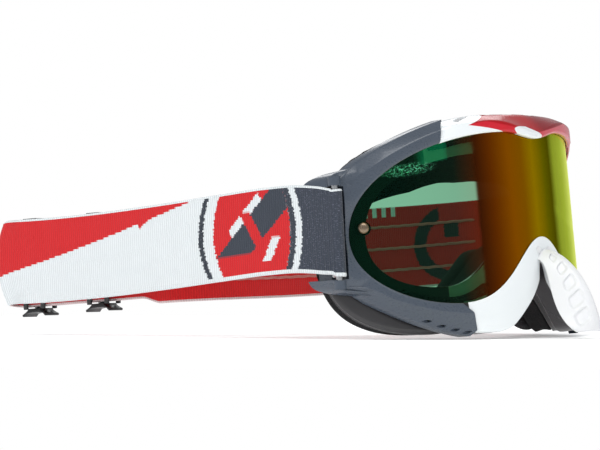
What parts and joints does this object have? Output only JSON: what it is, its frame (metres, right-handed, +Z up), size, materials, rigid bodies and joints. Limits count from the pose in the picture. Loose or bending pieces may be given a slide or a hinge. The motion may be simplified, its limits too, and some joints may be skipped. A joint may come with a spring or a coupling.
{
  "type": "motocross goggles",
  "caption": "Goggles with a curved see-through mirror lens in a moulded frame, side panels, clip-on nose guard, layered face foam and a two-part elastic strap with adjusters.",
  "frame": {"origin": "centre of the footprint on the ground, with the goggle standing on its lower cushion and frame lobes", "axes": "+Z up, -Y the way the wearer looks, +Y towards the strap, +X to the wearer's left"},
  "size_m": [0.1752, 0.2728, 0.0983],
  "materials": {
    "white_gloss": "glossy moulded white, printed red and pale grey on the brow",
    "panel_grey": "satin dark slate grey",
    "mirror_lens": "see-through multilayer mirror, green to orange to yellow green",
    "post_metal": "turned steel grey",
    "washer_black": "matt black",
    "guard_white": "satin white with recessed cells",
    "flange_grey": "soft dark grey with a dull shine",
    "foam_black": "open-cell black foam",
    "fleece_black": "black fleece-faced foam",
    "vent_foam": "coarse filter foam",
    "bar_steel": "plain steel pin",
    "webbing_white": "woven elastic, white with red and dark grey pattern",
    "webbing_red": "woven elastic, red with white edges",
    "silicone": "clear silicone bead",
    "buckle_black": "moulded black nylon"
  },
  "bodies": {
    "goggle": {"frame": "white_gloss", "side_panel_left": "panel_grey", "side_panel_right": "panel_grey", "lens": "mirror_lens", "tear_off_post_left": "post_metal", "tear_off_post_right": "post_metal", "post_washer_left": "washer_black", "post_washer_right": "washer_black", "face_flange": "flange_grey", "foam_mid": "foam_black", "foam_face": "fleece_black", "vent_foam_brow": "vent_foam", "vent_foam_left": "vent_foam", "vent_foam_right": "vent_foam", "anchor_bar_left": "bar_steel", "anchor_bar_right": "bar_steel"},
    "guard": {"nose_guard": "guard_white"},
    "strap_l": {"strap_left": "webbing_white", "strap_grip_left": "silicone", "adjuster_front": "buckle_black"},
    "strap_r": {"strap_right": "webbing_red", "strap_grip_right": "silicone"},
    "slider": {"adjuster_rear": "buckle_black"}
  },
  "joints": [
    {"name": "strap_swing_left", "type": "hinge", "parent": "goggle", "child": "strap_l", "pos_m": [-0.0845, -0.05734, 0.04568], "axis": [0, 0.0698, 0.9976], "range_deg": [-5, 5]},
    {"name": "strap_swing_right", "type": "hinge", "parent": "goggle", "child": "strap_r", "pos_m": [0.0845, -0.05734, 0.04568], "axis": [0, 0.0698, 0.9976], "range_deg": [-5, 5]},
    {"name": "slider_travel", "type": "slide", "parent": "strap_l", "child": "slider", "axis": [0, -0.9976, 0.0698], "range_m": [-0.003, 0.018]},
    {"name": "guard_release", "type": "slide", "parent": "goggle", "child": "guard", "axis": [0, -0.9936, 0.1132], "range_m": [0, 0.012]}
  ],
  "couplings": [
    {"joint": "strap_swing_right", "follows": "strap_swing_left", "ratio": 1}
  ]
}
